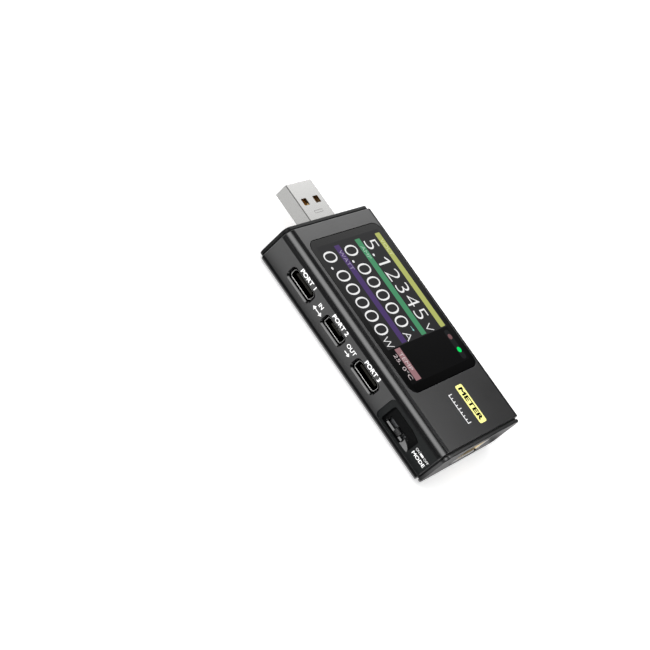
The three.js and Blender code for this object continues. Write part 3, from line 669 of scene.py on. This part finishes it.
for p in PORTS:
    half_sheet, out = p["sheet"] / 2, p["side"]
    rim = [(p["rear"], 0)]
    for i in range(9):
        a = math.pi * i / 8
        rim.append((p["mouth"] - out * half_sheet * (1 - math.sin(a)), -half_sheet * (1 - math.cos(a))))
    rim.append((p["rear"], -p["sheet"]))
    sleeve = loft("y", p["x"], p["z"], p["w"], p["h"], p["r"], rim, 8, True)
    middle = Vector((p["x"], 0, p["z"]))

    def sleeve_paint(face, middle=middle):
        """The inward half of the rim carries a painted highlight; the rest of the sleeve is steel painted
        dark as shade.
        """
        away = face.calc_center_median() - middle
        return 1 if away.x * face.normal.x + away.z * face.normal.z < 0 and abs(face.normal.y) > 0.1 else 0

    piece(f"{p['name']}_sleeve", sleeve, "meter_case", [port_steel, port_rim_painted_highlight],
          [f"{p['name']}_shell"], paint=sleeve_paint)

# ---- display lens and label -----------------------------------------------------------------

lens_profile = round_end(lens_high.z, -1, 0.14) + [(lens_low.z, 0)]
piece("lens_cover", loft("z", *LENS_C, LENS_W, LENS_H, 3.0, lens_profile, 10), "meter_case",
      lens_finish, ["display_lens"])

label_low, label_high = local_box("rating_label")
label_profile = round_end(label_low.z, 1, 0.07, 2) + [(label_high.z, 0)]
label_mesh = loft("z", (label_low.x + label_high.x) / 2, 0, label_high.x - label_low.x,
                  label_high.y - label_low.y, 1.6, label_profile, 8)
piece("label_sheet", label_mesh, "meter_case", label_finish, ["rating_label"])

# ---- slide switch, thumb wheel, round button ------------------------------------------------

knob_low, knob_high = local_box("slide_switch_knob")
STEM_X = 58.3
stem = loft("y", STEM_X, SLOT["z"], 1.9, 1.6, 0.08, round_end(knob_low.y, 1, 0.12, 2) + [(-18.4, 0)], 3)
grips = [loft("z", STEM_X + dx, knob_low.y, 0.22, 0.2, 0.03, [(3, 0), (7, 0)], 2) for dx in (-0.5, 0, 0.5)]
slider = box(STEM_X - 1.4, STEM_X + 1.4, -18.7, knob_high.y, SLOT["z"] - 1, SLOT["z"] + 1)
knob = boolean(boolean(stem, grips), [slider], "UNION")
piece("switch_knob", knob, "slide_knob", key_finish, ["slide_switch_knob"])

wheel_low, wheel_high = local_box("thumb_wheel")
WHEEL_R = 8.0
WHEEL_X, WHEEL_Y = (wheel_low.x + wheel_high.x) / 2, wheel_high.y - WHEEL_R


def wheel_mesh():
    """A fan-shaped thumb piece: ribs in two groups with a smooth land between them, on a hub."""
    land, fan, pitch, groove = 0.16, 0.86, 0.1, 0.4
    half = []
    a = land
    while a < fan - pitch / 2:
        half += [(WHEEL_R, a - 0.008), (WHEEL_R - 0.05, a + pitch * 0.04)]
        half += [(WHEEL_R - groove, a + pitch * 0.12), (WHEEL_R - groove, a + pitch * 0.42)]
        half += [(WHEEL_R - 0.05, a + pitch * 0.5), (WHEEL_R, a + pitch * 0.58)]
        a += pitch
    half += [(WHEEL_R, fan - 0.02), (WHEEL_R - 0.15, fan)]
    polar = [(r, -a) for r, a in reversed(half)]
    polar += [(WHEEL_R, land * t / 4) for t in range(-3, 4)]
    polar += half
    polar += [(2.2, 1.2 + 0.195 * k) for k in range(21)]
    ring = [(WHEEL_X + r * math.sin(a), WHEEL_Y + r * math.cos(a)) for r, a in polar]
    disc = skin([[(u, v, z) for u, v in ring] for z in (wheel_low.z, wheel_high.z)])
    bore = loft("z", WHEEL_X, WHEEL_Y, 2, 2, 1, [(0, 0), (HEIGHT, 0)], 8)
    return bevelled(boolean(disc, [bore]), 0.08, 2, 60)


piece("wheel_fan", wheel_mesh(), "wheel", key_finish, ["thumb_wheel"], sharp=30)

button_high = local_box("back_button")[1]


def button_mesh():
    """A round button: a flange inside the case, a fine ring on its face and a dimple in the middle."""
    face = button_high.y
    profile = [(18.3, 0.7), (19.2, 0.7), (19.2, 0), (face - 0.2, 0)]
    profile += [(face - 0.06, -0.06), (face, -0.2), (face, -1.55), (face - 0.05, -1.62), (face - 0.05, -1.72)]
    profile += [(face, -1.8)]
    for r in (0.88, 0.75, 0.55, 0.35, 0.15, 0.03):
        profile.append((face + 0.95 - math.sqrt(1.3 ** 2 - r ** 2), r - 2.85))
    return loft("y", BUTTON_X, BUTTON_Z, 5.7, 5.7, 2.85, profile, 10)


piece("button_back", button_mesh(), "back_key", key_finish, ["back_button"], sharp=30)

# ---- carried-over CAD nodes -----------------------------------------------------------------

CARRIED = {
    orange_finish: ["plug_insulator", "socket_tongue"],
    gold_finish: [f"{kind}_contact_{i}" for kind in ("plug", "socket") for i in range(1, 5)],
    dark_plastic: [f"{p['name']}_tongue" for p in PORTS]
    + ["wheel_switch_base", "wheel_carrier", "back_switch_plunger", "shunt_resistor"],
    dark_steel: ["slide_switch_body", "back_switch_body"],
    steel_finish: ["timing_crystal"],
    foam_finish: ["lens_gasket"],
    white_plastic: ["lcd_tray", "lcd_connector"],
    glass_finish: ["lcd_glass"],
    ribbon_finish: ["lcd_ribbon"],
    board_finish: ["main_board"],
    chip_finish: ["processor_chip", "protocol_chip"],
    ferrite_finish: ["power_inductor"],
}
for material, names in CARRIED.items():
    for name in names:
        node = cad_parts[name]
        node.data.materials.clear()
        node.data.materials.append(material)
        soft_edge = node.modifiers.new("edge", "BEVEL")
        soft_edge.width = 0.00004
        soft_edge.segments = 2
        soft_edge.limit_method = "ANGLE"
        soft_edge.angle_limit = math.radians(40)


# ---- print: a plane on the case that marks are laid on ---------------------------------------

def letters(words, offset=0.0):
    curve = bpy.data.curves.new("words", "FONT")
    curve.body = words
    curve.offset = offset
    curve.extrude = 0.1
    curve.resolution_u = 4
    obj = scratch(curve)
    mesh = evaluated(obj)
    bpy.data.objects.remove(obj)
    return mesh


class Sheet:
    """Marks on one flat face: u runs along the reading direction, v up the letters."""

    def __init__(self, origin, right, up, lift=0.0, thickness=0.012):
        self.origin, self.right, self.up = Vector(origin), Vector(right), Vector(up)
        self.normal = self.right.cross(self.up)
        self.lift, self.thickness = lift, thickness
        self.meshes = []

    def at(self, u, v, w):
        return self.origin + self.right * u + self.up * v + self.normal * (self.lift + w)

    def solid(self, outline):
        self.meshes.append(skin([[self.at(u, v, w) for u, v in outline] for w in (0, self.thickness)]))

    def bar(self, u0, u1, v0, v1, r=0.05, steps=4):
        self.solid(rounded_rect((u0 + u1) / 2, (v0 + v1) / 2, u1 - u0, v1 - v0, r, 0, steps))

    def dot(self, u, v, radius):
        self.bar(u - radius, u + radius, v - radius, v + radius, radius, 6)

    def line(self, points, width):
        """A stroke through points, each leg with round ends."""
        for p, q in zip(points, points[1:]):
            a, b = Vector(p), Vector(q)
            along = (b - a).normalized()
            across = Vector((-along.y, along.x))
            outline = []
            for centre, start in ((b, -90), (a, 90)):
                for i in range(5):
                    t = math.radians(start + 45 * i)
                    spot = centre + (along * math.cos(t) + across * math.sin(t)) * width / 2
                    outline.append((spot.x, spot.y))
            self.solid(outline)

    def arrow(self, u0, u1, v, size, width, both=False):
        self.line([(u0 + (size if both else 0), v), (u1 - size, v)], width)
        self.solid([(u1 - size, v - size * 0.8), (u1, v), (u1 - size, v + size * 0.8)])
        if both:
            self.solid([(u0 + size, v + size * 0.8), (u0, v), (u0 + size, v - size * 0.8)])

    def text(self, words, u, v, cap, width=None, offset=0.0, heavy=0.0):
        """Letters of a capital height, centred on (u, v), squeezed to a width if one is given.

        offset moves the outlines in the font's own units; heavy spreads the strokes in millimetres.
        """
        mesh = letters(words, offset)
        xs = [p.co.x for p in mesh.vertices]
        scale = cap / CAP
        wide = (max(xs) - min(xs)) * scale
        squeeze = width / wide if width else 1.0
        middle = (max(xs) + min(xs)) / 2
        bm = bmesh.new()
        bm.from_mesh(mesh)
        bmesh.ops.remove_doubles(bm, verts=bm.verts, dist=1e-5)
        for p in bm.verts:
            p.co = self.at(u + (p.co.x - middle) * scale * squeeze, v + p.co.y * scale - cap / 2,
                           self.thickness if p.co.z > 0 else 0)
        bmesh.ops.recalc_face_normals(bm, faces=bm.faces)
        made = bpy.data.meshes.new("words")
        bm.to_mesh(made)
        bm.free()
        self.meshes.append(made)
        for du, dv in ((-1, -0.7), (-1, 0.7), (1, -0.7), (1, 0.7)) if heavy else ():
            strike = made.copy()
            strike.transform(Matrix.Translation((self.right * du + self.up * dv) * heavy))
            self.meshes.append(strike)

    def make(self, name, slot_name, material):
        piece(name, merged(self.meshes), "meter_case", material, sharp=30)


CAP = max(p.co.y for p in letters("H").vertices)
FRONT = {"right": (1, 0, 0), "up": (0, 1, 0)}
MINUS_SIDE = {"right": (1, 0, 0), "up": (0, 0, 1)}
PLUS_SIDE = {"right": (1, 0, 0), "up": (0, 0, -1)}
BACK = {"right": (0, -1, 0), "up": (-1, 0, 0)}

# ---- display picture ------------------------------------------------------------------------

GLASS = (0, 0, lens_high.z)
THIN = 0.006


def display_sheet(level):
    return Sheet(GLASS, lift=level * THIN, thickness=THIN, **FRONT)


DIGIT_CAP = 5.8
DIGIT_THINNING = -0.017
BARS = [14.39 - 10.2 * i for i in range(3)]  # the three coloured bars, each with a reading below it
READING_DROP = 5.49  # from the middle of a bar down to the middle of its reading

ground = display_sheet(0)
ground.bar(6.7, 39.7, -14.5, 16.0, 0.3)
ground.make("picture_ground", "display_image", lit("picture_ground", (0.0275, 0.0275, 0.0285)))
dark_area = display_sheet(0)
dark_area.bar(39.72, 50.5, -14.5, 16.0, 0.3)
dark_area.make("picture_dark", "display_image", lit("picture_dark", (0.0046, 0.0046, 0.0048)))

BAR_COLORS = (("yellow", (0.445, 0.479, 0.141)), ("green", (0.069, 0.279, 0.138)),
              ("purple", (0.074, 0.042, 0.147)))
for y, (bar_name, color) in zip(BARS, BAR_COLORS):
    strip = display_sheet(1)
    strip.bar(7.75, 39.4, y - 1.2, y + 1.2, 0.35 if bar_name == "yellow" else 0.06)
    strip.make(f"picture_bar_{bar_name}", "display_image", lit(f"bar_{bar_name}", color))

temperature = display_sheet(1)
temperature.bar(40.1, 50.0, -11.9, -9.3, 0.06)
temperature.make("picture_bar_pink", "display_image", lit("bar_pink", (0.323, 0.174, 0.188)))

status = display_sheet(1)
status.bar(40.6, 50.0, 13.0, 15.3, 0.9)
status.make("picture_status_strip", "display_image", lit("status_strip", (0.014, 0.015, 0.016)))
for light_name, x, color in (("red", 42.8, (0.195, 0.100, 0.104)), ("green", 47.1, (0.002, 0.82, 0.14))):
    lamp = display_sheet(2)
    lamp.dot(x, 14.2, 0.85)
    lamp.make(f"picture_dot_{light_name}", "display_image", lit(f"dot_{light_name}", color))

digits = display_sheet(2)
for bar_y, reading in zip(BARS, ("5.12345", "0.00000", "0.00000")):
    row = bar_y - READING_DROP
    digits.text(reading[0], 10.4, row, DIGIT_CAP, None, DIGIT_THINNING)
    digits.dot(13.57, row - 2.35, 0.42)
    for i, figure in enumerate(reading[2:]):
        across = 12.21 + 4.31 * (i + 1)
        if figure == "1":
            stroke = [(across - 1.15, row + 1.45), (across + 0.25, row + 2.45), (across + 0.25, row - 2.7)]
            digits.line(stroke, 0.6)
        else:
            digits.text(figure, across, row, DIGIT_CAP, None, DIGIT_THINNING)
for letter, x, y, wide in (("V", 38.2, 8.1, None), ("A", 38.2, -2.8, None), ("W", 37.8, -12.5, 3.4)):
    digits.text(letter, x, y, 3.1, wide, -0.016)
digits.make("picture_digits", "display_image", lit("digits", (0.88, 0.88, 0.88)))

CAPTIONS = (("volt", 12.6, (0.66, 0.68, 0.34)), ("amp", 12.2, (0.34, 0.55, 0.42)),
            ("watt", 12.6, (0.35, 0.30, 0.45)))
for y, (word, x, color) in zip(BARS, CAPTIONS):
    names = display_sheet(2)
    names.text(word.upper(), x, y, 1.5)
    names.make(f"picture_label_{word}", "display_image", lit(f"label_{word}", color))
names = display_sheet(2)
names.text("TEMP", 44.2, -10.6, 1.6)
names.text("25. 0°C", 45.3, -13.2, 1.5, 7.9)
names.make("picture_label_temp", "display_image", lit("label_temp", (0.62, 0.53, 0.54)))
names = display_sheet(2)
names.arrow(36.0, 37.6, 1.0, 0.6, 0.22)
names.make("picture_flow_arrow", "display_image", lit("flow_arrow", (0.28, 0.60, 0.58)))

# ---- legends --------------------------------------------------------------------------------

PRINT = {"lift": -0.004, "thickness": 0.014}  # starts just under the surface, stands 0.01 mm proud
SIDE_LETTERS_Z = 9.8

tag = Sheet((0, 0, HEIGHT), lift=-0.006, thickness=0.012, **FRONT)
tag.bar(55.7, 67.6, 1.4, 4.9, 0.6)
tag.make("front_tag", "tag_print", tag_painted_glow)
tag = Sheet((0, 0, HEIGHT), lift=0.004, thickness=0.012, **FRONT)
tag.text("METER", 61.65, 3.15, 1.9, 10.0, heavy=0.12)
tag.make("front_tag_text", "tag_print", tag_text_finish)

scale = Sheet((0, 0, HEIGHT), lift=-0.004, thickness=0.012, **FRONT)
scale.line([(57.2, -3.4), (66.0, -3.4)], 0.3)
for i in range(9):
    tall = 1.5 if i % 4 == 0 else 0.8
    scale.line([(57.2 + 1.1 * i, -3.4), (57.2 + 1.1 * i, -3.4 + tall)], 0.24)
scale.make("front_scale_mark", "legend_print", ink_painted_glow)

ports_sheet = Sheet((0, -HALF, 0), **PRINT, **MINUS_SIDE)
for number, width in ((1, 6.1), (2, 6.3), (3, 6.1)):
    ports_sheet.text(f"PORT {number}", PORTS[number - 1]["x"] + 0.3, SIDE_LETTERS_Z, 1.2, width, heavy=0.045)
ports_sheet.arrow(19.05, 22.7, 6.35, 0.9, 0.3, True)
ports_sheet.text("IN", 20.7, 8.15, 1.15, heavy=0.02)
ports_sheet.text("OUT", 34.5, 8.15, 1.15, heavy=0.02)
ports_sheet.arrow(33.6, 35.5, 6.3, 0.8, 0.3)
ports_sheet.make("legend_ports", "legend_print", ink_painted_glow)

switch_sheet = Sheet((0, -PANEL, 0), **PRINT, **MINUS_SIDE)
switch_sheet.text("ON", 65.2, 7.05, 0.7, 1.4)
switch_sheet.bar(66.2, 67.5, 6.75, 7.35, 0.1)
switch_sheet.text("OFF", 68.7, 7.05, 0.7, 1.8)
switch_sheet.text("MODE", 67.0, 5.55, 0.98, 4.8, heavy=0.02)
switch_sheet.make("legend_switch", "legend_print", ink_painted_glow)

side = Sheet((0, HALF, 0), **PRINT, **PLUS_SIDE)
side.text("OK", 30.85, -9.0, 1.5, 2.6)
arc = []
for i in range(13):
    t = i / 12
    arc.append((27.5 + 6.65 * t, -7.05 + 1.55 * math.sin(math.pi * t)))
side.line(arc, 0.2)
side.dot(arc[0][0], arc[0][1], 0.26)
side.dot(arc[-1][0], arc[-1][1], 0.26)
side.line([(30.83, -5.5), (30.83, -6.3)], 0.2)
side.dot(30.83, -6.4, 0.24)
side.text("PC", 7.2, -5.4, 1.2, 2.0)
side.line([(5.6, -7.0), (8.9, -7.0), (8.9, -8.6), (5.6, -8.6), (5.6, -7.0)], 0.2)
side.line([(6.6, -7.8), (7.9, -7.8)], 0.4)
side.make("legend_data_side", "legend_print", ink_painted_glow)
side = Sheet((0, PANEL, 0), **PRINT, **PLUS_SIDE)
side.text("BACK", 66.9, -7.3, 1.25, 4.5, heavy=0.04)
side.make("legend_back_key", "legend_print", ink_painted_glow)

back_face = label_low.z
tag = Sheet((16.3, 0, back_face), **PRINT, **BACK)
tag.bar(-6.75, 6.75, -1.6, 1.6, 0.5)
tag.make("back_tag", "tag_print", tag_painted_glow)
tag = Sheet((16.3, 0, back_face), lift=0.008, thickness=0.012, **BACK)
tag.text("TESTER", 0, 0, 1.9, 11.0, heavy=0.1)
tag.make("back_tag_text", "tag_print", tag_text_finish)
rating = Sheet((0, 0, back_face), **PRINT, **BACK)
for words, v, cap, width in (("PORTABLE POWER TESTER", -20.3, 1.0, 15.5), ("INLINE METER", -28.2, 1.15, 11.5),
                             ("INPUT  OUTPUT", -31.0, 1.15, 12.5), ("DATA LINK", -33.8, 1.15, 10.0)):
    rating.text(words, 0, v, cap, width)
rating.dot(-2.6, -36.4, 0.55)
rating.bar(-0.7, 0.7, -36.9, -35.9, 0.2)
rating.line([(1.9, -36.9), (2.6, -35.8), (3.3, -36.9), (1.9, -36.9)], 0.18)
rating.make("rating_print", "legend_print", rating_ink)

# ---- stage: floor, backdrop and lights --------------------------------------------------------


def plain(name, color, glow):
    material = bpy.data.materials.new(name)
    material.use_nodes = True
    shader = next(n for n in material.node_tree.nodes if n.type == "BSDF_PRINCIPLED")
    shader.inputs["Base Color"].default_value = (*color, 1)
    shader.inputs["Roughness"].default_value = 0.9
    shader.inputs["Specular IOR Level"].default_value = 0.1
    shader.inputs["Emission Color"].default_value = (1, 1, 1, 1)
    shader.inputs["Emission Strength"].default_value = glow
    return material


def flat_sheet(name, x0, x1, y0, y1, z):
    mesh = bpy.data.meshes.new(name)
    mesh.from_pydata([(x0, y0, z), (x1, y0, z), (x1, y1, z), (x0, y1, z)], [], [(0, 1, 2, 3)])
    return mesh


def stand(name, mesh, hidden=()):
    """Puts a stage object in the scene, unseen by the named kinds of ray."""
    made = bpy.data.objects.new(name, mesh)
    bpy.context.scene.collection.objects.link(made)
    for ray in hidden:
        setattr(made, f"visible_{ray}", False)
    return made


FLOOR_Z, FLAG_Z = -0.0002, -0.0001
floor_mesh = flat_sheet("floor", -20, 20, -20, 20, FLOOR_Z)
floor_mesh.materials.append(plain("floor_paint", (0.86, 0.86, 0.86), 0.62))
floor = stand("floor", floor_mesh)

dome_bm = bmesh.new()
bmesh.ops.create_icosphere(dome_bm, subdivisions=3, radius=3)
dome_mesh = bpy.data.meshes.new("backdrop")
dome_bm.to_mesh(dome_mesh)
dome_bm.free()
dome_mesh.materials.append(plain("backdrop_paint", (0.9, 0.9, 0.9), 1.0))
backdrop = stand("backdrop", dome_mesh, ("diffuse", "glossy", "transmission", "shadow"))


def flag(name, side):
    """A black card on the floor beside the case, seen only in reflections.

    Going outwards it is dark up to near, gone at clear, and grows dark again beyond far_clear (millimetres).
    """
    near, clear, far_clear, far = 1.5, 8.5, 22.0, 400.0
    edge = ORIGIN.y + side * HALF * MM
    mesh = flat_sheet(name, ORIGIN.x - 3 * MM, ORIGIN.x + 0.09, edge + side * 0.1 * MM,
                      edge + side * far * MM, FLAG_Z)
    material = bpy.data.materials.new(name)
    material.use_nodes = True
    tree = material.node_tree
    shader = next(n for n in tree.nodes if n.type == "BSDF_PRINCIPLED")
    shader.inputs["Base Color"].default_value = (0, 0, 0, 1)
    shader.inputs["Specular IOR Level"].default_value = 0.0
    place = tree.nodes.new("ShaderNodeTexCoord")
    split = tree.nodes.new("ShaderNodeSeparateXYZ")
    tree.links.new(place.outputs["Object"], split.inputs[0])
    both = tree.nodes.new("ShaderNodeMath")
    both.operation = "MAXIMUM"
    fades = ((near, clear, 1.0), (far_clear, far_clear * 1.6, 0.0))
    for i, (start_mm, end_mm, start_value) in enumerate(fades):
        fade = tree.nodes.new("ShaderNodeMapRange")
        fade.interpolation_type = "SMOOTHSTEP"
        fade.inputs["From Min"].default_value = edge + side * start_mm * MM
        fade.inputs["From Max"].default_value = edge + side * end_mm * MM
        fade.inputs["To Min"].default_value = start_value
        fade.inputs["To Max"].default_value = 1.0 - start_value
        tree.links.new(split.outputs["Y"], fade.inputs["Value"])
        tree.links.new(fade.outputs["Result"], both.inputs[i])
    tree.links.new(both.outputs[0], shader.inputs["Alpha"])
    mesh.materials.append(material)
    card = stand(name, mesh, ("camera", "diffuse", "transmission", "shadow"))


flag("flag_minus", -1)
flag("flag_plus", 1)


def softbox(name, location, target, width, height, radiance, falloff):
    """An area light whose glow fades smoothly towards its edges."""
    data = bpy.data.lights.new(name, "AREA")
    data.shape = "RECTANGLE"
    data.size, data.size_y = width, height
    data.energy = radiance * width * height * math.pi
    data.use_nodes = True
    tree = data.node_tree
    emit = next(n for n in tree.nodes if n.type == "EMISSION")
    spot = tree.nodes.new("ShaderNodeTexCoord")
    centre = tree.nodes.new("ShaderNodeVectorMath")
    centre.operation = "SUBTRACT"
    centre.inputs[1].default_value = (0.5, 0.5, 0)
    reach = tree.nodes.new("ShaderNodeVectorMath")
    reach.operation = "LENGTH"
    fade = tree.nodes.new("ShaderNodeMapRange")
    fade.interpolation_type = "SMOOTHSTEP"
    fade.inputs["From Min"].default_value = falloff
    fade.inputs["From Max"].default_value = 0.5
    fade.inputs["To Min"].default_value = 1.0
    fade.inputs["To Max"].default_value = 0.0
    tree.links.new(spot.outputs["UV"], centre.inputs[0])
    tree.links.new(centre.outputs["Vector"], reach.inputs[0])
    tree.links.new(reach.outputs["Value"], fade.inputs["Value"])
    tree.links.new(fade.outputs["Result"], emit.inputs["Strength"])
    light = bpy.data.objects.new(name, data)
    light.location = location
    light.rotation_euler = (Vector(target) - Vector(location)).to_track_quat("-Z", "Y").to_euler()
    light.visible_camera = False
    bpy.context.scene.collection.objects.link(light)


softbox("card_far", (-0.23, 0.30, 0.20), (-0.01, 0.0, 0.01), 0.55, 0.36, 3.5, 0.0)
softbox("card_edge", (-0.08, -0.26, 0.38), (0.0, 0.0, 0.01), 0.85, 0.60, 3.2, 0.15)
softbox("card_near", (0.03, 0.12, 0.20), (0.03, 0.0, 0.01), 0.12, 0.12, 5.8, 0.2)

world = bpy.data.worlds.new("studio")
world.use_nodes = True
world.node_tree.nodes["Background"].inputs["Color"].default_value = (1, 1, 1, 1)
world.node_tree.nodes["Background"].inputs["Strength"].default_value = 0.03
bpy.context.scene.world = world
